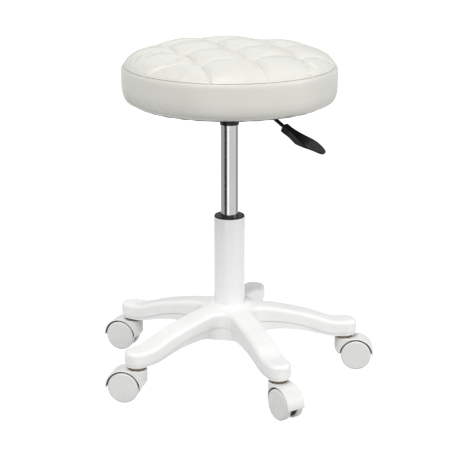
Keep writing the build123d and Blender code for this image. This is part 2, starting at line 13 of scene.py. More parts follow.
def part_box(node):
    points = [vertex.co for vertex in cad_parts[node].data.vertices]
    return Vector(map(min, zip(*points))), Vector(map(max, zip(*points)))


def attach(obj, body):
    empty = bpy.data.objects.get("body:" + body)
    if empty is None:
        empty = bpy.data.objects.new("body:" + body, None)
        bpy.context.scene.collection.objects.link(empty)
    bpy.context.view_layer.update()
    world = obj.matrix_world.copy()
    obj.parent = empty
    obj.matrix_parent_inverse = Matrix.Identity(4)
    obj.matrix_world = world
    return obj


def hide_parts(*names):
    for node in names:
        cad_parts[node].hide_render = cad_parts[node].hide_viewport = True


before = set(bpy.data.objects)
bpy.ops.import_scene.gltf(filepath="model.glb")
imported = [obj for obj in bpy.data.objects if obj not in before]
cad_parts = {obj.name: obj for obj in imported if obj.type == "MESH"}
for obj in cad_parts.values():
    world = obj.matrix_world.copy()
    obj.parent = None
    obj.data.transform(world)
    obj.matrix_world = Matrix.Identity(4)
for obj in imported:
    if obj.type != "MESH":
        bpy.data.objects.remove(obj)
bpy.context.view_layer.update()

MM = 0.001

# ---- sizes taken from the frame, in metres ----
seat_low, seat_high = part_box("cover_top")
band_low, band_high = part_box("cover_band")
cloth_low, cloth_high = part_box("dust_cover")
_, board_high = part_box("seat_board")
SKIN = 1.2 * MM
SEAM_R = seat_high.x
SEAM_Z = seat_low.z + SKIN
TOP_Z = seat_high.z
BAND_R = band_high.x - 0.7 * MM
BAND_LOW_Z = band_low.z

# ---- the tufted top: a square grid of nine pits, joined by pleats ----
CREST_Z = TOP_Z - 1.8 * MM         # the pads swell a little above this
TUFT_PITCH = 82 * MM
TUFT_TURN = math.radians(16.2)
PIT_Z = TOP_Z - 15 * MM            # the pits' height before their hollows are added
PIT_CONE = 7 * MM                  # depth of the soft hollow round each pit
PIT_CONE_R = 14 * MM
SADDLE_SINK = 9 * MM               # depth of a pleat halfway between two pits
PLEAT_FALL = 3.4                   # how quickly a pleat rises from its pits to that depth
RIM_SINK = 8 * MM                  # depth of a rim pleat just outside its pit
RIM_R = SEAM_R - 1.5 * MM          # the seam lies on the shoulder, a little inside the band
CREST_R = SEAM_R + 2 * MM          # where the top's curve would turn vertical
CREST_FLAT = 4                     # higher values keep the middle flat further out
CREST_DROP = 0.62                  # lower values make the edge fall more steeply
RIM_TUCK = 0.9 * MM                # how far the top is pulled in at the seam
GROOVE = 2.4 * MM                  # width of the sharp part of a pleat
CREASE = 1.5 * MM                  # depth of the fold line itself
CREASE_WIDTH = 1.1 * MM
GROOVE_SHARE = 0.3                 # share of an edge's depth that lies in the sharp part
MIDDLE_SWELL = 1.2 * MM            # how far the four middle pads bulge, then the corner and side pads
CORNER_SWELL = 0.6 * MM
SIDE_SWELL = 1.4 * MM
HELD_WIDTH = 2.5 * MM              # strip beside each fold that the simulation holds
SETTLE_PRESSURE = 4.0
SETTLE_SLACK = 0.012               # share by which the leather may grow
SETTLE_FRAMES = 20
SETTLE_CAP = 3.5 * MM              # no point moves further than this
LEATHER_STRETCH = 14               # the simulation's stiffnesses
LEATHER_SHEAR = 6
LEATHER_BEND = 0.7
CRUMPLE_AT = 0.1                   # radians from +X, where the rim is crumpled
CELL_STEPS = 30
RIM_STEPS = 34

# Where the rim pleats meet the seam, in degrees from +X, counted from the pit that each one leaves.
RIM_PLEATS = {
    (1, 0): [18.0],
    (1, 1): [46.0, 72.5],
    (0, 1): [108.0],
    (-1, 1): [135.5, 160.0],
    (-1, 0): [180.5],
    (-1, -1): [216.5, 255.4],
    (0, -1): [285.6],
    (1, -1): [312.6, 347.3],
}


# ---------------------------------------------------------------- materials

def linear(red, green, blue):
    """A colour given as it looks on a screen, 0 to 1, as shader values."""
    return tuple(c / 12.92 if c <= 0.04045 else ((c + 0.055) / 1.055) ** 2.4 for c in (red, green, blue))


class Finish:
    """A node material round one Principled shader. Its patterns are placed in the row frame, in metres."""

    def __init__(self, name, color, roughness, **settings):
        self.material = bpy.data.materials.new(name)
        self.material.use_nodes = True
        self.tree = self.material.node_tree
        self.shader = next(n for n in self.tree.nodes if n.type == "BSDF_PRINCIPLED")
        self.where = self.node("ShaderNodeTexCoord").outputs["Object"]
        self.color = None
        self.normal = None
        self.base = color
        self.shader.inputs["Base Color"].default_value = (*color, 1)
        self.shader.inputs["Roughness"].default_value = roughness
        for key, value in settings.items():
            self.shader.inputs[key.replace("_", " ")].default_value = value

    def node(self, kind, **settings):
        made = self.tree.nodes.new(kind)
        for key, value in settings.items():
            setattr(made, key, value)
        return made

    def link(self, start, end):
        self.tree.links.new(start, end)

    def place(self, stretch):
        """The row frame's coordinates, scaled by a factor on each axis."""
        mapping = self.node("ShaderNodeMapping")
        mapping.inputs["Scale"].default_value = stretch
        self.link(self.where, mapping.inputs["Vector"])
        return mapping.outputs["Vector"]

    def noise(self, size, detail=4.0, stretch=(1, 1, 1), rough=0.5, distortion=0.0):
        """Cloudy noise whose lumps are about this size in metres."""
        made = self.node("ShaderNodeTexNoise")
        made.inputs["Scale"].default_value = 1 / size
        made.inputs["Detail"].default_value = detail
        made.inputs["Roughness"].default_value = rough
        made.inputs["Distortion"].default_value = distortion
        self.link(self.place(stretch), made.inputs["Vector"])
        return made.outputs["Fac"]

    def cells(self, size, feature="F1", stretch=(1, 1, 1), randomness=1.0):
        """Cell pattern with cells of about this size in metres."""
        made = self.node("ShaderNodeTexVoronoi", feature=feature)
        made.inputs["Scale"].default_value = 1 / size
        made.inputs["Randomness"].default_value = randomness
        self.link(self.place(stretch), made.inputs["Vector"])
        return made.outputs["Distance"]

    def axis(self, name):
        """One coordinate of the row frame, or the distance from the stool's axis as R."""
        split = self.node("ShaderNodeSeparateXYZ")
        self.link(self.where, split.inputs[0])
        if name != "R":
            return split.outputs[name]
        squares = [self.math("POWER", split.outputs[c], 2.0) for c in "XY"]
        return self.math("SQRT", self.math("ADD", *squares))

    def math(self, operation, *values):
        made = self.node("ShaderNodeMath", operation=operation)
        for slot, value in zip(made.inputs, values):
            if isinstance(value, (int, float)):
                slot.default_value = value
            else:
                self.link(value, slot)
        return made.outputs[0]

    def range(self, value, low, high, to_low=0.0, to_high=1.0):
        """Maps value from low..high to to_low..to_high, clamped."""
        made = self.node("ShaderNodeMapRange")
        for key, number in (("From Min", low), ("From Max", high), ("To Min", to_low), ("To Max", to_high)):
            made.inputs[key].default_value = number
        self.link(value, made.inputs["Value"])
        return made.outputs["Result"]

    def tint(self, mask, color, amount=1.0):
        """Mixes the colour so far towards another where the mask is high."""
        made = self.node("ShaderNodeMix", data_type="RGBA")
        self.link(self.math("MULTIPLY", mask, amount), made.inputs["Factor"])
        if self.color is None:
            made.inputs[6].default_value = (*self.base, 1)
        else:
            self.link(self.color, made.inputs[6])
        made.inputs[7].default_value = (*color, 1)
        self.color = made.outputs[2]
        self.link(self.color, self.shader.inputs["Base Color"])

    def painted_gap_shade(self, reach):
        """High in gaps narrower than about this, where little light gets in: a mask for painted shade that
        darkens such gaps.
        """
        made = self.node("ShaderNodeAmbientOcclusion", samples=8)
        made.inputs["Distance"].default_value = reach
        return self.range(made.outputs["AO"], 0.45, 0.1)

    def rough(self, mask, low, high, from_low=0.3, from_high=0.7):
        self.link(self.range(mask, from_low, from_high, low, high), self.shader.inputs["Roughness"])

    def bump(self, height, distance, strength=1.0):
        """Raises the surface by up to this distance, in metres, on top of the bumps so far."""
        made = self.node("ShaderNodeBump")
        made.inputs["Distance"].default_value = distance
        made.inputs["Strength"].default_value = strength
        self.link(height, made.inputs["Height"])
        if self.normal is not None:
            self.link(self.normal, made.inputs["Normal"])
        self.normal = made.outputs["Normal"]
        self.link(self.normal, self.shader.inputs["Normal"])


def moulded(name, color, dirty, roughness, grain=0.35 * MM, depth=0.012 * MM):
    """Injection-moulded plastic: a fine spark-eroded grain, faint flow clouds, dust near the floor and
    painted shade darkening narrow gaps.
    """
    look = Finish(name, color, roughness, IOR=1.5)
    clouds = look.noise(42 * MM, 3)
    look.tint(look.range(clouds, 0.35, 0.75), dirty, 0.22)
    low_dust = look.range(look.axis("Z"), 30 * MM, 2 * MM)
    specks = look.range(look.noise(5 * MM, 6, rough=0.7), 0.5, 0.68)
    look.tint(look.math("MULTIPLY", low_dust, specks), dirty, 0.5)
    # painted shade: narrow gaps and crevices are tinted dark grey, as if in shadow
    look.tint(look.painted_gap_shade(7 * MM), linear(0.2, 0.2, 0.2), 0.9)
    look.rough(look.noise(9 * MM, 5), roughness - 0.05, roughness + 0.07)
    look.bump(look.noise(grain, 2), depth)
    look.bump(look.noise(24 * MM, 2), 0.06 * MM, 0.6)
    return look


def white_nylon():
    look = moulded("white_nylon", linear(0.952, 0.952, 0.948), linear(0.86, 0.86, 0.845), 0.36)
    return look.material


def white_paint():
    """Powder coat on the column: orange peel under a clear gloss."""
    look = Finish("white_paint", linear(0.945, 0.945, 0.945), 0.3, Coat_Weight=0.25, Coat_Roughness=0.12)
    look.tint(look.range(look.noise(90 * MM, 3), 0.3, 0.8), linear(0.925, 0.925, 0.92), 0.3)
    look.rough(look.noise(14 * MM, 4), 0.3, 0.34)
    look.bump(look.noise(1.4 * MM, 2), 0.014 * MM)
    return look.material


def black_plastic():
    look = Finish("black_plastic", linear(0.055, 0.055, 0.06), 0.4, Specular_IOR_Level=0.22)
    look.tint(look.range(look.noise(8 * MM, 5), 0.45, 0.75), linear(0.09, 0.09, 0.095), 0.6)
    look.rough(look.noise(3 * MM, 4), 0.34, 0.5)
    look.bump(look.noise(0.4 * MM, 2), 0.02 * MM)
    return look.material


def grip_plastic():
    """The grip: a leather-like moulded grain, polished where hands touch it."""
    look = Finish("grip_plastic", linear(0.06, 0.06, 0.065), 0.3, Specular_IOR_Level=0.3)
    look.tint(look.range(look.noise(12 * MM, 4), 0.4, 0.75), linear(0.1, 0.1, 0.105), 0.5)
    look.rough(look.noise(16 * MM, 3), 0.24, 0.36)
    look.bump(look.cells(0.9 * MM, "DISTANCE_TO_EDGE"), 0.05 * MM, 0.7)
    look.bump(look.noise(0.3 * MM, 2), 0.01 * MM)
    return look.material


def chrome():
    """Polished plate on the lift cylinder, with faint turning lines and wiped smears."""
    look = Finish("chrome", linear(0.72, 0.72, 0.725), 0.1, Metallic=1.0)
    smears = look.noise(26 * MM, 5, (1, 1, 0.35), distortion=0.6)
    look.tint(look.range(smears, 0.5, 0.8), linear(0.66, 0.665, 0.67), 0.4)
    look.rough(smears, 0.08, 0.15)
    look.bump(look.noise(0.5 * MM, 3, (0.08, 0.08, 1)), 0.0016 * MM)
    return look.material


def steel():
    """Bright zinc plate with a fine brushed grain and grey clouds."""
    look = Finish("steel", linear(0.72, 0.73, 0.74), 0.32, Metallic=1.0)
    look.tint(look.range(look.noise(4 * MM, 5), 0.45, 0.75), linear(0.56, 0.57, 0.58), 0.5)
    look.rough(look.noise(2 * MM, 4), 0.24, 0.42)
    look.bump(look.noise(0.4 * MM, 3, (1, 1, 0.15)), 0.006 * MM)
    return look.material


def black_paint():
    """Gloss black paint over pressed steel: orange peel, dust and a few grey scuffs."""
    look = Finish(
        "black_paint", linear(0.045, 0.045, 0.05), 0.32, Specular_IOR_Level=0.25, Coat_Weight=0.12,
        Coat_Roughness=0.15)
    scuffs = look.range(look.noise(5 * MM, 8, (1, 1, 0.4), rough=0.72), 0.6, 0.7)
    look.tint(scuffs, linear(0.2, 0.2, 0.21), 0.3)
    look.rough(look.noise(7 * MM, 5), 0.24, 0.42)
    look.bump(look.noise(1.1 * MM, 2), 0.016 * MM)
    return look.material


def caster_white():
    look = moulded("caster_white", linear(0.905, 0.905, 0.895), linear(0.78, 0.78, 0.755), 0.34)
    return look.material


def wheel_white():
    """Polyurethane wheels: smooth faces, and a worn band that has picked up dust on the tread."""
    look = moulded("wheel_white", linear(0.89, 0.89, 0.882), linear(0.74, 0.735, 0.72), 0.38)
    scratches = look.range(look.noise(3 * MM, 9, (0.3, 0.3, 1), rough=0.75), 0.6, 0.7)
    look.tint(scratches, linear(0.76, 0.755, 0.74), 0.25)
    look.bump(look.noise(6 * MM, 3), 0.03 * MM)
    return look.material


def core_black():
    look = Finish("core_black", linear(0.1, 0.1, 0.1), 0.5)
    look.tint(look.range(look.noise(6 * MM, 5), 0.45, 0.8), linear(0.19, 0.185, 0.18), 0.5)
    look.rough(look.noise(3 * MM, 4), 0.42, 0.58)
    look.bump(look.noise(0.5 * MM, 2), 0.02 * MM)
    return look.material


def bronze():
    """Dull bronze plate on the stem collars, darker where it has tarnished."""
    look = Finish("bronze", linear(0.5, 0.46, 0.4), 0.34, Metallic=1.0)
    look.tint(look.range(look.noise(5 * MM, 6), 0.42, 0.7), linear(0.3, 0.265, 0.22), 0.75)
    look.rough(look.noise(2.5 * MM, 4), 0.26, 0.46)
    look.bump(look.noise(0.5 * MM, 3), 0.01 * MM)
    return look.material


def black_rubber():
    look = Finish("black_rubber", linear(0.1, 0.1, 0.1), 0.72)
    look.tint(look.range(look.noise(4 * MM, 6), 0.45, 0.8), linear(0.2, 0.195, 0.19), 0.5)
    look.rough(look.noise(2 * MM, 4), 0.64, 0.82)
    look.bump(look.noise(0.6 * MM, 4), 0.04 * MM)
    return look.material


def plywood():
    """Plies about 1.5 mm thick that show on the edge, with grain along X on the faces."""
    look = Finish("plywood", linear(0.8, 0.68, 0.52), 0.62)
    grain = look.noise(3 * MM, 6, (0.06, 1, 1), rough=0.65, distortion=0.4)
    look.tint(look.range(grain, 0.4, 0.65), linear(0.6, 0.45, 0.3), 0.55)
    plies = look.math("SINE", look.math("MULTIPLY", look.axis("Z"), math.tau / (3 * MM)))
    edge = look.range(look.axis("R"), board_high.x - 1 * MM, board_high.x - 0.2 * MM)
    look.tint(look.math("MULTIPLY", look.range(plies, -0.2, 0.2), edge), linear(0.5, 0.36, 0.24), 0.7)
    look.rough(grain, 0.55, 0.72)
    look.bump(grain, 0.08 * MM)
    return look.material


def foam():
    look = Finish("foam", linear(0.93, 0.9, 0.76), 0.9)
    look.tint(look.range(look.noise(20 * MM, 4), 0.4, 0.7), linear(0.85, 0.79, 0.6), 0.5)
    look.bump(look.cells(1.2 * MM), 0.3 * MM)
    return look.material


def leather(name, color, shade):
    """Coated leather cloth: a pebble grain of two sizes, satin gloss, very faint colour clouds and painted
    shade in the grain's creases.
    """
    look = Finish(name, color, 0.36, IOR=1.48, Sheen_Weight=0.08, Sheen_Roughness=0.4)
    look.tint(look.range(look.noise(55 * MM, 4), 0.35, 0.75), shade, 0.28)
    creases = look.range(look.cells(1.15 * MM, "DISTANCE_TO_EDGE"), 0.0, 0.16)
    # painted shade: the grain's creases are tinted darker, as if shaded; the same mask raises the grain's
    # bump
    look.tint(look.range(creases, 1.0, 0.0), shade, 0.18)
    look.rough(look.noise(12 * MM, 5), 0.3, 0.42)
    look.bump(creases, 0.028 * MM, 0.8)
    look.bump(look.noise(0.35 * MM, 2), 0.01 * MM)
    look.bump(look.noise(7 * MM, 3), 0.16 * MM, 0.5)
    return look.material


def pu_leather():
    return leather("pu_leather", linear(0.885, 0.885, 0.86), linear(0.85, 0.845, 0.8))


# painted shade: the band uses a slightly darker copy of the top's leather, standing in for the shade on the
# seat's side
def shaded_band_leather():
    return leather("shaded_band_leather", linear(0.865, 0.862, 0.835), linear(0.83, 0.825, 0.785))


def thread():
    """Twisted polyester sewing thread: fine plies across each stitch."""
    look = Finish("thread", linear(0.93, 0.925, 0.9), 0.6, Sheen_Weight=0.3, Sheen_Roughness=0.5)
    plies = look.noise(0.25 * MM, 3, (1, 1, 2.5))
    look.tint(look.range(plies, 0.4, 0.6), linear(0.8, 0.79, 0.75), 0.6)
    look.bump(plies, 0.06 * MM)
    return look.material


def dust_cloth():
    """Black non-woven cloth: tangled fibres pressed together at small bonded points."""
    look = Finish("dust_cloth", linear(0.12, 0.12, 0.125), 0.9, Sheen_Weight=0.25, Sheen_Roughness=0.6)
    fibres = look.noise(0.8 * MM, 8, (1, 0.3, 1), rough=0.75, distortion=1.2)
    look.tint(look.range(fibres, 0.45, 0.7), linear(0.24, 0.24, 0.245), 0.6)
    points = look.range(look.cells(2.4 * MM, randomness=0.0), 0.1, 0.3)
    look.tint(look.range(points, 1.0, 0.0), linear(0.06, 0.06, 0.065), 0.8)
    look.rough(fibres, 0.82, 0.95)
    look.bump(points, 0.12 * MM)
    look.bump(fibres, 0.08 * MM)
    return look.material


finishes = {
    build.__name__: build()
    for build in (
        white_nylon, white_paint, black_plastic, grip_plastic, chrome, steel, black_paint, caster_white,
        wheel_white, core_black, bronze, black_rubber, plywood, foam, pu_leather, dust_cloth)
}
finishes["shaded_band_leather"] = shaded_band_leather()
finishes["thread"] = thread()


def dress_cad_nodes():
    """Gives every CAD node the finish of its own material slot."""
    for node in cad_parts.values():
        for place in node.material_slots:
            place.material = finishes[place.material.name.split(".")[0]]


# ---------------------------------------------------------------- meshes

def mesh_object(name, points, faces, material):
    """A smooth-shaded object, with points that fall together joined and its faces turned outwards."""
    mesh = bpy.data.meshes.new(name)
    mesh.from_pydata([tuple(p) for p in points], [], faces)
    mesh.materials.append(material)
    made = bpy.data.objects.new(name, mesh)
    bpy.context.scene.collection.objects.link(made)
    tidy = bmesh.new()
    tidy.from_mesh(mesh)
    bmesh.ops.remove_doubles(tidy, verts=tidy.verts, dist=0.004 * MM)
    bmesh.ops.dissolve_degenerate(tidy, edges=tidy.edges, dist=0.002 * MM)
    bmesh.ops.recalc_face_normals(tidy, faces=tidy.faces)
    tidy.to_mesh(mesh)
    tidy.free()
    mesh.shade_smooth()
    return made


def grid_faces(rows, columns, start=0, wrap=False):
    """Quads between rows of points; wrap joins the last column to the first."""
    made = []
    for row in range(rows - 1):
        for column in range(columns if wrap else columns - 1):
            right = (column + 1) % columns
            here, above = start + row * columns, start + (row + 1) * columns
            made.append((here + column, here + right, above + right, above + column))
    return made


def smooth_step(value):
    value = np.clip(value, 0, 1)
    return value * value * (3 - 2 * value)


# ---------------------------------------------------------------- tufted top

def crest_share(r):
    """The crest's height at radius r as a share: 1 in the middle, 0 where it would turn vertical."""
    return np.maximum(1 - np.clip(r / CREST_R, 0, 1) ** CREST_FLAT, 0) ** CREST_DROP


crest_rise = (CREST_Z - SEAM_Z) / (1 - crest_share(RIM_R))


def crest_height(r):
    """Height of the pads' crests at radius r: nearly flat in the middle, falling steeply to the seam."""
    return CREST_Z - crest_rise * (1 - crest_share(r))


def crest_normal(r):
    """The crest surface's normal as its outward and upward parts."""
    step = 0.05 * MM
    slope = (crest_height(r) - crest_height(np.maximum(r - step, 0))) / step
    length = np.sqrt(1 + slope * slope)
    return -slope / length, 1 / length


def pit_point(i, j):
    turn = np.array([[math.cos(TUFT_TURN), -math.sin(TUFT_TURN)], [math.sin(TUFT_TURN), math.cos(TUFT_TURN)]])
    return turn @ (np.array([i, j]) * TUFT_PITCH)


pits = {(i, j): pit_point(i, j) for i in (-1, 0, 1) for j in (-1, 0, 1)}


def pit_sink(point):
    return float(crest_height(np.hypot(*point))) - PIT_Z


def rim_point(degrees):
    return RIM_R * np.array([math.cos(math.radians(degrees)), math.sin(math.radians(degrees))])


def even_ends(count):
    """Steps from 0 to 1, closer together at both ends."""
    share = np.linspace(0, 1, count)
    return share - 0.6 * np.sin(math.tau * share) / math.tau


def to_rim(count):
    """Steps from 0 at a pit to 1 at the seam, closer at both ends and closest at the seam."""
    share = np.linspace(0, 1, count)
    return (1 - (1 - share) ** 1.9) * (1 - 0.35 * (1 - share) ** 2 * (1 - np.exp(-6 * share)))


class Edge:
    """One side of a pad in plan: points along it, and how far each lies under the crest surface."""

    def __init__(self, points, sinks):
        self.points = np.asarray(points)
        self.sinks = np.asarray(sinks)


def grid_pleat(a, b):
    share = even_ends(CELL_STEPS)
    start, end = pits[a], pits[b]
    points = start + share[:, None] * (end - start)
    middle = (start + end) / 2
    saddle = SADDLE_SINK * (pit_sink(middle) / pit_sink(np.zeros(2)))
    sinks = saddle + (pit_sink(start) - saddle) * (1 - share) ** PLEAT_FALL + (
        pit_sink(end) - saddle) * share**PLEAT_FALL
    return Edge(points, sinks)


def rim_pleat(pit, degrees):
    """A straight pleat from an outer pit to its place on the seam."""
    share = to_rim(RIM_STEPS)
    start, end = pits[pit], rim_point(degrees)
    points = start + share[:, None] * (end - start)
    depth = pit_sink(start)
    sinks = (depth - RIM_SINK) * (1 - share) ** 6 + RIM_SINK * (1 - share) ** 1.1 + RIM_TUCK * share**3
    return Edge(points, sinks)


def rim_arc(from_degrees, to_degrees):
    """The stretch of seam between two rim pleats."""
    share = even_ends(CELL_STEPS)
    angles = from_degrees + share * ((to_degrees - from_degrees) % 360)
    return Edge([rim_point(a) for a in angles], np.full(CELL_STEPS, RIM_TUCK))


def pit_edge(pit):
    """The edge of a corner pad that has shrunk to its pit."""
    return Edge(np.repeat(pits[pit][None], CELL_STEPS, 0), np.full(CELL_STEPS, pit_sink(pits[pit])))


def fall(distance, length, groove):
    """How much of an edge's depth is left at a distance from it: a sharp groove plus a wide pillow slope."""
    share = np.clip(distance / length, 0, 1)
    return GROOVE_SHARE * np.exp(-distance / groove) * (1 - share) + (1 - GROOVE_SHARE) * (1 - share) ** 5.2


def pad(bottom, top, left, right, swell):
    """One pad between four edges. bottom and top run left to right; left and right run bottom to top."""
    bottom_is_point = np.allclose(bottom.points[0], bottom.points[-1])
    top_is_rim = abs(np.hypot(*top.points[0]) - RIM_R) < MM and abs(np.hypot(*top.points[-1]) - RIM_R) < MM
    s = even_ends(CELL_STEPS)[None, :]
    rows = len(left.points)
    along = np.linalg.norm(left.points - left.points[0], axis=1) + np.linalg.norm(
        right.points - right.points[0], axis=1)
    t = (along / along[-1])[:, None]
    corners = [bottom.points[0], bottom.points[-1], top.points[0], top.points[-1]]
    s3, t3 = s[..., None], t[..., None]
    flat = (
        (1 - t3) * bottom.points[None] + t3 * top.points[None]
        + (1 - s3) * left.points[:, None] + s3 * right.points[:, None]
        - (1 - s3) * (1 - t3) * corners[0] - s3 * (1 - t3) * corners[1]
        - (1 - s3) * t3 * corners[2] - s3 * t3 * corners[3])
    width = np.linalg.norm(right.points - left.points, axis=1)[:, None] + 1e-6
    height = np.full((1, CELL_STEPS), along[-1] / 2)
    f_left, f_right = fall(s * width, width, GROOVE), fall((1 - s) * width, width, GROOVE)
    reach = max(float(height[0, 0]), TUFT_PITCH)
    f_low, f_high = fall(t * height, reach, GROOVE), fall((1 - t) * height, reach, GROOVE)
    sink = (
        left.sinks[:, None] * f_left + right.sinks[:, None] * f_right
        + bottom.sinks[None] * f_low + top.sinks[None] * f_high
        - bottom.sinks[0] * f_left * f_low - bottom.sinks[-1] * f_right * f_low
        - top.sinks[0] * f_left * f_high - top.sinks[-1] * f_right * f_high)
    folds = np.exp(-s * width / CREASE_WIDTH) + np.exp(-(1 - s) * width / CREASE_WIDTH)
    if not bottom_is_point:
        folds = folds + np.exp(-t * height / CREASE_WIDTH)
    if not top_is_rim:
        folds = folds + np.exp(-(1 - t) * height / CREASE_WIDTH)
    sink = sink + CREASE * np.minimum(folds, 1)
    sink = sink - swell * np.sin(math.pi * s) ** 0.7 * np.sin(math.pi * np.clip(t, 0, 1)) ** 0.7
    nearest_edge = np.minimum(np.minimum(s, 1 - s) * width, np.minimum(t, 1 - t) * height)
    held = np.clip(1 - nearest_edge / HELD_WIDTH, 0, 1)
    return flat.reshape(-1, 2), sink.reshape(-1), held.reshape(-1), rows


def gathers(flat):
    """Small radiating folds that the pulled leather makes round each pit."""
    total = np.zeros(len(flat))
    for number, centre in enumerate(pits.values()):
        state = np.random.RandomState(20 + number)
        offset = flat - centre
        distance = np.hypot(offset[:, 0], offset[:, 1])
        angle = np.arctan2(offset[:, 1], offset[:, 0])
        folds = sum(
            state.uniform(0.5, 1) * np.cos(k * angle + state.uniform(0, math.tau)) for k in (5, 7, 8, 11, 13))
        near = smooth_step((distance - 1.5 * MM) / (5 * MM))
        near = near * np.exp(-(((distance - 6 * MM) / (11 * MM)) ** 2))
        total += 0.3 * MM * folds * near
    return total


def rim_puckers(flat):
    """Short radial gathers where the top is sewn to the band, stronger in a crumpled stretch on one side."""
    r = np.hypot(flat[:, 0], flat[:, 1])
    angle = np.arctan2(flat[:, 1], flat[:, 0])
    near = np.exp(-(((RIM_R - 5 * MM - r) / (4 * MM)) ** 2))
    fine = 0.14 * MM * np.sin(134 * angle + 1.5 * np.sin(8 * angle)) * near
    crumpled = np.exp(-(((angle - CRUMPLE_AT) / 0.16) ** 2))
    crumpled = crumpled * np.exp(-(((RIM_R - 9 * MM - r) / (10 * MM)) ** 2))
    creases = np.sin(52 * angle + 260 * r) + 0.8 * np.sin(31 * angle - 410 * r + 1.0)
    return fine + 0.75 * MM * crumpled * creases


def lifted(flat, sink):
    """Plan points raised to the crest surface and sunk below it by the given depths."""
    r = np.hypot(flat[:, 0], flat[:, 1])
    out, up = crest_normal(r)
    direction = flat / np.maximum(r, 1e-9)[:, None]
    rumple = np.array([noise.noise(Vector((x * 38, y * 38, 3.1))) for x, y in flat])
    for centre in pits.values():
        sink = sink + PIT_CONE * np.exp(-((np.hypot(*(flat - centre).T) / PIT_CONE_R) ** 2))
    rumpled = 0.55 * MM * rumple * smooth_step((RIM_R - r) / (18 * MM))
    sink = sink - gathers(flat) - rim_puckers(flat) - rumpled
    points = np.empty((len(flat), 3))
    points[:, :2] = flat - direction * (out * sink)[:, None]
    points[:, 2] = crest_height(r) - up * sink
    return points


def tufted_top():
    """The cushion: the tufted top panel, closed underneath where the side band hides it."""
    patches = []
    for i in (-1, 0):
        for j in (-1, 0):
            patches.append((
                grid_pleat((i, j), (i + 1, j)), grid_pleat((i, j + 1), (i + 1, j + 1)),
                grid_pleat((i, j), (i, j + 1)), grid_pleat((i + 1, j), (i + 1, j + 1)), MIDDLE_SWELL))
    order = list(RIM_PLEATS)
    for place, pit in enumerate(order):
        following = order[(place + 1) % len(order)]
        last, first = RIM_PLEATS[pit][-1], RIM_PLEATS[following][0]
        if len(RIM_PLEATS[pit]) == 2:
            a, b = RIM_PLEATS[pit]
            patches.append((
                pit_edge(pit), rim_arc(a, b), rim_pleat(pit, a), rim_pleat(pit, b), CORNER_SWELL))
        patches.append((
            grid_pleat(pit, following), rim_arc(last, first),
            rim_pleat(pit, last), rim_pleat(following, first), SIDE_SWELL))
    points, faces, held = [], [], []
    for bottom, top, left, right, swell in patches:
        flat, sink, pins, rows = pad(bottom, top, left, right, swell)
        faces += grid_faces(rows, CELL_STEPS, start=sum(len(p) for p in points))
        points.append(lifted(flat, sink))
        held.append(pins)
    points, held = np.concatenate(points), np.concatenate(held)
    top_panel = mesh_object("seat_top_panel", points, faces, finishes["pu_leather"])
    close_below(top_panel)
    settle(top_panel, points, held)
    top_panel.data.shade_smooth()
    return top_panel


def settle(panel, points, held):
    """Cloth simulation of the leather over its foam, held at the folds, pits, seam and hidden side."""
    near = KDTree(len(points))
    for number, point in enumerate(points):
        near.insert(point, number)
    near.balance()
    start = np.array([v.co for v in panel.data.vertices])
    group = panel.vertex_groups.new(name="held")
    for number, place in enumerate(start):
        _, closest, distance = near.find(place)
        group.add([number], float(held[closest]) if distance < 0.1 * MM else 1.0, "REPLACE")
    cloth = panel.modifiers.new("settle", "CLOTH")
    leather_cloth = cloth.settings
    leather_cloth.quality = 6
    leather_cloth.mass = 0.4
    leather_cloth.tension_stiffness = leather_cloth.compression_stiffness = LEATHER_STRETCH
    leather_cloth.shear_stiffness = LEATHER_SHEAR
    leather_cloth.bending_stiffness = LEATHER_BEND
    leather_cloth.use_pressure = True
    leather_cloth.uniform_pressure_force = SETTLE_PRESSURE
    leather_cloth.effector_weights.gravity = 0
    leather_cloth.vertex_group_mass = group.name
    leather_cloth.shrink_min = -SETTLE_SLACK
    cloth.collision_settings.use_collision = False
    cloth.point_cache.frame_end = SETTLE_FRAMES
    for step in range(1, SETTLE_FRAMES + 1):
        bpy.context.scene.frame_set(step)
    settled = panel.evaluated_get(bpy.context.evaluated_depsgraph_get())
    moves = np.array([v.co for v in settled.data.vertices]) - start
    lengths = np.linalg.norm(moves, axis=1)
    moves *= np.minimum(1, SETTLE_CAP / np.maximum(lengths, 1e-9))[:, None]
    panel.modifiers.clear()
    panel.vertex_groups.clear()
    panel.data.vertices.foreach_set("co", (start + moves).ravel())
    panel.data.update()
    bpy.context.scene.frame_set(1)


def close_below(panel):
    """Takes the open edge at the seam down inside the band to the seat board and closes it there."""
    work = bmesh.new()
    work.from_mesh(panel.data)
    rim = [e for e in work.edges if e.is_boundary]
    for radius, z in (
            (RIM_R - 1.2 * MM, SEAM_Z - 0.5 * MM), (RIM_R - 3.4 * MM, SEAM_Z - 8 * MM),
            (BAND_R - 7 * MM, SEAM_Z - 30 * MM), (board_high.x - 2 * MM, board_high.z + 0.6 * MM)):
        made = bmesh.ops.extrude_edge_only(work, edges=rim)["geom"]
        for vert in (v for v in made if isinstance(v, bmesh.types.BMVert)):
            out = Vector((vert.co.x, vert.co.y, 0)).normalized() * radius
            vert.co = Vector((out.x, out.y, z))
        rim = [e for e in made if isinstance(e, bmesh.types.BMEdge)]
    bmesh.ops.contextual_create(work, geom=rim)
    bmesh.ops.recalc_face_normals(work, faces=work.faces)
    work.to_mesh(panel.data)
    work.free()


# ---------------------------------------------------------------- side band

BAND_COLUMNS = 420
FULL_AT = -0.7                     # radians from +X: the foam fills the band most here


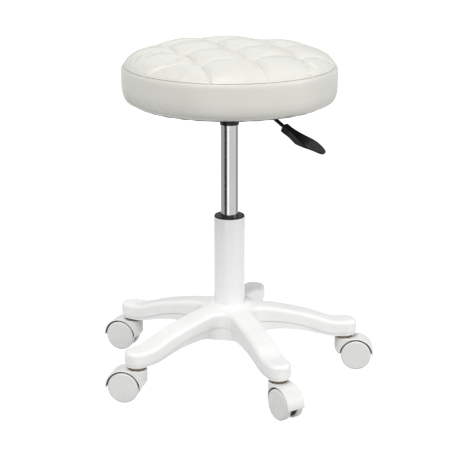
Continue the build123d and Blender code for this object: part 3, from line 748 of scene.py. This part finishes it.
def band_outline():
    """The band's section as radius and height, from the seam down to the fold under the board."""
    return [
        (RIM_R - 2.4 * MM, SEAM_Z - 2.8 * MM), (RIM_R - 1.0 * MM, SEAM_Z - 1.4 * MM),
        (RIM_R + 0.5 * MM, SEAM_Z - 1.1 * MM), (RIM_R + 1.7 * MM, SEAM_Z - 3.6 * MM),
        (RIM_R + 3.0 * MM, SEAM_Z - 8 * MM), (BAND_R - 0.1 * MM, SEAM_Z - 18 * MM),
        (BAND_R - 0.1 * MM, SEAM_Z - 28 * MM), (BAND_R - 0.6 * MM, SEAM_Z - 37 * MM),
        (BAND_R - 2.6 * MM, SEAM_Z - 46.5 * MM), (BAND_R - 6 * MM, SEAM_Z - 53.2 * MM),
        (BAND_R - 11 * MM, BAND_LOW_Z + 4 * MM), (BAND_R - 17 * MM, BAND_LOW_Z + 0.5 * MM),
        (BAND_R - 25 * MM, BAND_LOW_Z + 0.2 * MM)]


def spline_through(points, count):
    """Even points along a Catmull-Rom curve through the given points."""
    points = np.asarray(points, float)
    padded = np.vstack([2 * points[0] - points[1], points, 2 * points[-1] - points[-2]])
    fine = []
    for a, b, c, d in zip(padded, padded[1:], padded[2:], padded[3:]):
        t = np.linspace(0, 1, 24, endpoint=False)[:, None]
        fine.append(0.5 * (2 * b + (c - a) * t + (2 * a - 5 * b + 4 * c - d) * t**2
                           + (3 * b - a - 3 * c + d) * t**3))
    fine = np.vstack([*fine, points[-1:]])
    lengths = np.concatenate([[0], np.cumsum(np.linalg.norm(np.diff(fine, axis=0), axis=1))])
    want = np.linspace(0, lengths[-1], count)
    return np.stack([np.interp(want, lengths, fine[:, k]) for k in range(fine.shape[1])], axis=1)


def lobe(angle, middle, width):
    """A smooth hump round the seat, 1 at its middle."""
    away = np.angle(np.exp(1j * (angle - middle)))
    return np.exp(-((away / width) ** 2))


def band_ripple(angles, height, radius):
    """How far the band stands out or in: slack swells, seam puckers, low wrinkles and tucks below."""
    a = angles[None, :]
    z = height[:, None]
    down = SEAM_Z - z
    on_side = smooth_step(down / (10 * MM)) * smooth_step((z - BAND_LOW_Z - 2 * MM) / (12 * MM))
    swell = 0.25 * MM * on_side * (np.sin(3 * a + 0.6) + 0.7 * np.sin(7 * a + 2.1 + z * 40))
    puckers = 0.16 * MM * np.sin(118 * a + 1.5 * np.sin(9 * a)) * np.exp(-((down - 4 * MM) / (4 * MM)) ** 2)
    low = np.exp(-(((z - BAND_LOW_Z - 14 * MM) / (9 * MM)) ** 2))
    patches = smooth_step((np.sin(2 * a + 0.35) + 0.55 * np.sin(5 * a + 1.0) - 0.45) / 0.6)
    slanted = np.sin(46 * a + z * 330 + 1.8 * np.sin(6 * a))
    wrinkles = 0.25 * MM * low * patches * slanted
    slump = 1.4 * MM * lobe(a, FULL_AT, 0.6) * smooth_step((down - 28 * MM) / (22 * MM)) * smooth_step(
        (z - BAND_LOW_Z - 2 * MM) / (6 * MM))
    under = smooth_step((BAND_LOW_Z + 9 * MM - z) / (7 * MM)) * smooth_step(
        (radius[:, None] - BAND_R + 20 * MM) / (7 * MM))
    tucks = np.abs(np.sin(31 * a + 1.3 * np.sin(4 * a) + 0.8 * np.sin(11 * a)))
    return swell + puckers + wrinkles + slump - 0.9 * MM * under * (1 - tucks) ** 3


def side_band():
    outer = spline_through(band_outline(), 64)
    slope = np.gradient(outer, axis=0)
    normal = np.stack([-slope[:, 1], slope[:, 0]], axis=1)
    normal /= np.linalg.norm(normal, axis=1)[:, None]
    if normal[20, 0] < 0:
        normal = -normal
    angles = np.linspace(0, math.tau, BAND_COLUMNS, endpoint=False)
    ripple = band_ripple(angles, outer[:, 1], outer[:, 0])
    inner = range(len(outer) - 1, -1, -8)
    rows = []
    for k, (r, z) in enumerate(outer):
        radius = r + ripple[k] * normal[k, 0]
        height = z + ripple[k] * normal[k, 1]
        rows.append(np.stack([radius * np.cos(angles), radius * np.sin(angles), height], axis=1))
    for k in inner:
        radius = outer[k, 0] + (ripple[k] - SKIN) * normal[k, 0]
        height = outer[k, 1] + (ripple[k] - SKIN) * normal[k, 1]
        rows.append(np.stack([radius * np.cos(angles), radius * np.sin(angles), height], axis=1))
    rows.append(rows[0])
    return mesh_object(
        "seat_side_band", np.concatenate(rows), grid_faces(len(rows), BAND_COLUMNS, wrap=True),
        finishes["shaded_band_leather"])


# ---------------------------------------------------------------- stitches

STITCH_COUNT = 268
STITCH_LENGTH = 3.1 * MM
STITCH_THICK = 0.42 * MM
TIE_LENGTH = 3.6 * MM
TIE_R = 0.42 * MM


def surface_of(obj):
    mesh = obj.data
    return BVHTree.FromPolygons([v.co for v in mesh.vertices], [tuple(p.vertices) for p in mesh.polygons])


def stitch_row(name, surface, radius, z, count, length, thick):
    """A row of short thread stitches lying on a surface round the seat, each end pulled into the leather."""
    rings, around = 7, 8
    points, faces = [], []
    for number in range(count):
        wobble = 0.05 * math.sin(number * 2.3)
        middle = (number + wobble) * math.tau / count
        start = len(points)
        for ring in range(rings):
            share = ring / (rings - 1)
            angle = middle + (share - 0.5) * length / radius
            probe = Vector((radius * math.cos(angle), radius * math.sin(angle), z))
            spot, normal, _, _ = surface.find_nearest(probe)
            if normal.dot(probe) < 0:
                normal = -normal
            along = Vector((-math.sin(angle), math.cos(angle), 0))
            across = along.cross(normal).normalized()
            bow = math.sin(math.pi * share)
            centre = spot + normal * (thick * (1.15 * bow - 0.75))
            size = thick * (0.55 + 0.45 * bow ** 0.5)
            for k in range(around):
                turn = math.tau * k / around
                points.append(centre + (across * math.cos(turn) + normal * math.sin(turn)) * size)
        faces += grid_faces(rings, around, start, wrap=True)
        faces.append(tuple(start + k for k in range(around))[::-1])
        faces.append(tuple(start + (rings - 1) * around + k for k in range(around)))
    return mesh_object(name, points, faces, finishes["thread"])


def tuft_ties(surface):
    """The crossed twine that holds each pit down."""
    rings, around = 7, 8
    points, faces = [], []
    for i, j in pits:
        x, y = pits[(i, j)]
        spot, _, _, _ = surface.find_nearest(Vector((x, y, PIT_Z)))
        for cross, turn in enumerate((TUFT_TURN + 0.5, TUFT_TURN + 0.5 + math.pi / 2)):
            along = Vector((math.cos(turn), math.sin(turn), 0))
            across = Vector((-along.y, along.x, 0))
            start = len(points)
            for ring in range(rings):
                share = ring / (rings - 1) - 0.5
                bow = math.cos(math.pi * share)
                centre = spot + along * (share * TIE_LENGTH) + Vector((0, 0, (0.5 * bow + 0.25 * cross) * MM))
                for k in range(around):
                    a = math.tau * k / around
                    points.append(centre + (across * math.cos(a) + Vector((0, 0, math.sin(a)))) * TIE_R)
            faces += grid_faces(rings, around, start, wrap=True)
            faces.append(tuple(start + k for k in range(around))[::-1])
            faces.append(tuple(start + (rings - 1) * around + k for k in range(around)))
    return mesh_object("tuft_ties", points, faces, finishes["thread"])


# ---------------------------------------------------------------- underside

CLOTH_R = cloth_high.x
STAPLE_COUNT = 34


def dust_sheet():
    """Thin cloth stapled under the board: slight sags between staples, drawn tight at each one."""
    rings, columns = 46, 204
    radii = CLOTH_R * np.linspace(0, 1, rings)[1:]
    angles = np.linspace(0, math.tau, columns, endpoint=False)
    middle = (cloth_low.z + cloth_high.z) / 2

    def wave(r, a):
        edge = smooth_step((r - 0.78 * CLOTH_R) / (0.22 * CLOTH_R))
        draw = 0.5 - 0.5 * math.cos(STAPLE_COUNT * a)
        cloud = noise.noise(Vector((r * math.cos(a) * 22, r * math.sin(a) * 22, 5.0)))
        pulled = math.sin(STAPLE_COUNT * a + 4 * cloud) * edge
        return -(0.35 * draw * edge + 0.28 * abs(cloud) * (1 - edge) + 0.12 * pulled) * MM

    def layer(z):
        made = [np.array([[0, 0, z + wave(0, 0)]])]
        for r in radii:
            made.append(np.array([[r * math.cos(a), r * math.sin(a), z + wave(r, a)] for a in angles]))
        return np.concatenate(made)

    half = (cloth_high.z - cloth_low.z) / 2 - 0.1 * MM
    upper, lower = layer(middle + half), layer(middle - half)
    faces = []
    for offset, flip in ((0, False), (len(upper), True)):
        ring = [offset + 1 + k for k in range(columns)]
        fan = [(offset, ring[k], ring[(k + 1) % columns]) for k in range(columns)]
        quads = grid_faces(rings - 1, columns, offset + 1, wrap=True)
        faces += [f[::-1] if flip else f for f in fan + quads]
    last = 1 + (rings - 2) * columns
    for k in range(columns):
        n = (k + 1) % columns
        faces.append((last + k, last + n, len(upper) + last + n, len(upper) + last + k))
    return mesh_object("dust_sheet", np.concatenate([upper, lower]), faces, finishes["dust_cloth"])


def staples():
    """Wire staples round the dust sheet, each at its own slight angle."""
    work = bmesh.new()
    crown, wire, leg = 10 * MM, 0.9 * MM, 4 * MM
    low = cloth_low.z - 0.75 * MM
    for number in range(STAPLE_COUNT):
        angle = (number + 0.06 * math.sin(number * 5.1)) * math.tau / STAPLE_COUNT
        radius = CLOTH_R - (5 + 0.7 * math.sin(number * 3.7)) * MM
        tilt = angle + math.pi / 2 + 0.16 * math.sin(number * 1.9)
        spot = Matrix.Translation((radius * math.cos(angle), radius * math.sin(angle), low))
        place = spot @ Matrix.Rotation(tilt, 4, "Z")
        for offset, size in (
                ((0, 0, wire * 0.3), (crown, wire, wire * 0.6)),
                ((crown / 2 - wire / 2, 0, leg / 2), (wire, wire, leg)),
                ((wire / 2 - crown / 2, 0, leg / 2), (wire, wire, leg))):
            made = bmesh.ops.create_cube(work, size=1)["verts"]
            bmesh.ops.scale(work, verts=made, vec=size)
            bmesh.ops.transform(work, verts=made, matrix=place @ Matrix.Translation(offset))
            edges = list({e for v in made for e in v.link_edges})
            bmesh.ops.bevel(work, geom=edges, offset=wire * 0.2, segments=2, affect="EDGES", profile=0.5)
    mesh = bpy.data.meshes.new("cloth_staples")
    work.to_mesh(mesh)
    work.free()
    mesh.materials.append(finishes["steel"])
    made = bpy.data.objects.new("cloth_staples", mesh)
    bpy.context.scene.collection.objects.link(made)
    return made


# ---------------------------------------------------------------- camera, lights, floor

SKY_ABOVE = 0.5
SKY_BELOW = 0.46
FLOOR_GLOW = 1.0
CARD_DISTANCE = 0.8
CARD_HEIGHT = 0.32
CAMERA_AIM_Z = 0.245
CAMERA_DISTANCE = 2.329
CAMERA_AZIMUTH = math.radians(-5.04)
CAMERA_ELEVATION = math.radians(16.84)


def direction(azimuth, elevation):
    """Unit vector from the stool towards a viewer. Azimuth 0 is in front and grows to the right."""
    level = math.cos(elevation)
    return Vector((math.sin(azimuth) * level, -math.cos(azimuth) * level, math.sin(elevation)))


def add_camera():
    data = bpy.data.cameras.new("camera")
    data.lens = 111.6
    data.sensor_width = 36
    data.shift_x = 0.0012
    data.clip_start, data.clip_end = 0.05, 60
    camera = bpy.data.objects.new("camera", data)
    camera.location = Vector((0, 0, CAMERA_AIM_Z)) + direction(
        CAMERA_AZIMUTH, CAMERA_ELEVATION) * CAMERA_DISTANCE
    camera.rotation_euler = (math.pi / 2 - CAMERA_ELEVATION, 0, CAMERA_AZIMUTH)
    bpy.context.scene.collection.objects.link(camera)
    bpy.context.scene.camera = camera


def softbox(name, azimuth, elevation, distance, size, watts, color=(1, 1, 1)):
    data = bpy.data.lights.new(name, "AREA")
    data.shape = "RECTANGLE"
    data.size, data.size_y = size
    data.energy = watts
    data.color = color
    lamp = bpy.data.objects.new(name, data)
    aim = Vector((0, 0, 0.3))
    away = direction(math.radians(azimuth), math.radians(elevation))
    lamp.location = aim + away * distance
    lamp.rotation_euler = away.to_track_quat("Z", "Y").to_euler()
    bpy.context.scene.collection.objects.link(lamp)


def card(name, azimuth, spread, level):
    """A card near the stool that shows only in reflections, to shape the gloss of the chrome and plastic."""
    work = bmesh.new()
    bmesh.ops.create_grid(work, x_segments=1, y_segments=1, size=0.5)
    mesh = bpy.data.meshes.new(name)
    work.to_mesh(mesh)
    work.free()
    made = bpy.data.objects.new(name, mesh)
    away = direction(math.radians(azimuth), 0)
    made.scale = (2 * CARD_DISTANCE * math.tan(math.radians(spread)), CARD_HEIGHT, 1)
    made.location = away * CARD_DISTANCE + Vector((0, 0, CARD_HEIGHT / 2))
    made.rotation_euler = away.to_track_quat("Z", "Y").to_euler()
    look = Finish(name, (0.02, 0.02, 0.02), 1.0, Emission_Color=(1, 1, 1, 1), Emission_Strength=level)
    look.tint(look.noise(0.4, 2), (0.015, 0.015, 0.015), 0.5)
    mesh.materials.append(look.material)
    for ray in ("camera", "diffuse", "shadow", "transmission"):
        setattr(made, "visible_" + ray, False)
    bpy.context.scene.collection.objects.link(made)


def add_floor():
    work = bmesh.new()
    bmesh.ops.create_circle(work, cap_ends=True, radius=14, segments=96)
    mesh = bpy.data.meshes.new("floor")
    work.to_mesh(mesh)
    work.free()
    floor = bpy.data.objects.new("floor", mesh)
    look = Finish("floor", linear(0.4, 0.4, 0.4), 0.9)
    look.tint(look.noise(0.6, 3), linear(0.38, 0.38, 0.38), 0.5)
    look.shader.inputs["Emission Color"].default_value = (1, 1, 1, 1)
    look.shader.inputs["Emission Strength"].default_value = FLOOR_GLOW
    mesh.materials.append(look.material)
    bpy.context.scene.collection.objects.link(floor)
    floor.location.z = -0.0002
    floor.visible_diffuse = False


def add_world():
    """Soft light from all round, brighter from above."""
    world = bpy.data.worlds.new("studio")
    bpy.context.scene.world = world
    world.use_nodes = True
    tree = world.node_tree
    background = next(n for n in tree.nodes if n.type == "BACKGROUND")
    background.inputs["Color"].default_value = (1, 1, 1, 1)
    where = tree.nodes.new("ShaderNodeTexCoord")
    split = tree.nodes.new("ShaderNodeSeparateXYZ")
    level = tree.nodes.new("ShaderNodeMapRange")
    for key, value in (("From Min", -0.6), ("From Max", 0.6), ("To Min", SKY_BELOW), ("To Max", SKY_ABOVE)):
        level.inputs[key].default_value = value
    tree.links.new(where.outputs["Generated"], split.inputs[0])
    tree.links.new(split.outputs["Z"], level.inputs["Value"])
    tree.links.new(level.outputs["Result"], background.inputs["Strength"])


def sun(name, azimuth, elevation, strength, spread):
    data = bpy.data.lights.new(name, "SUN")
    data.energy = strength
    data.angle = math.radians(spread)
    lamp = bpy.data.objects.new(name, data)
    away = direction(math.radians(azimuth), math.radians(elevation))
    lamp.rotation_euler = away.to_track_quat("Z", "Y").to_euler()
    bpy.context.scene.collection.objects.link(lamp)


def add_lights():
    sun("key", -26, 54, 1.75, 26)
    sun("fill", 72, 16, 1.0, 40)
    softbox("front_glow", 4, 24, 3.2, (0.5, 1.8), 5)
    softbox("back_rim", 190, 30, 3.0, (2.0, 1.0), 5)
    card("dark_left", -58, 19, 0.04)
    card("bright_left", -20, 10, 2.2)
    card("dark_right", 102, 10, 0.3)
    card("grey_left_back", -115, 34, 0.6)
    card("grey_back", 160, 36, 0.45)


# ---------------------------------------------------------------- the whole

add_camera()
add_world()
add_lights()
add_floor()
bpy.context.scene.view_settings.view_transform = "Standard"
dress_cad_nodes()

top_panel = tufted_top()
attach(top_panel, "seat")
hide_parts("cover_top", "foam_pad")

band = side_band()
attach(band, "seat")
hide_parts("cover_band")

panel_surface = surface_of(top_panel)
band_surface = surface_of(band)
upper_row = stitch_row(
    "topstitch_upper", panel_surface, RIM_R - 2 * MM, SEAM_Z + 3.4 * MM,
    STITCH_COUNT, STITCH_LENGTH, STITCH_THICK)
lower_row = stitch_row(
    "topstitch_lower", band_surface, RIM_R + 4 * MM, SEAM_Z - 4.6 * MM,
    STITCH_COUNT, STITCH_LENGTH, STITCH_THICK)
ties = tuft_ties(panel_surface)
for row in (upper_row, lower_row, ties):
    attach(row, "seat")

sheet = dust_sheet()
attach(sheet, "seat")
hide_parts("dust_cover")
fixings = staples()
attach(fixings, "seat")
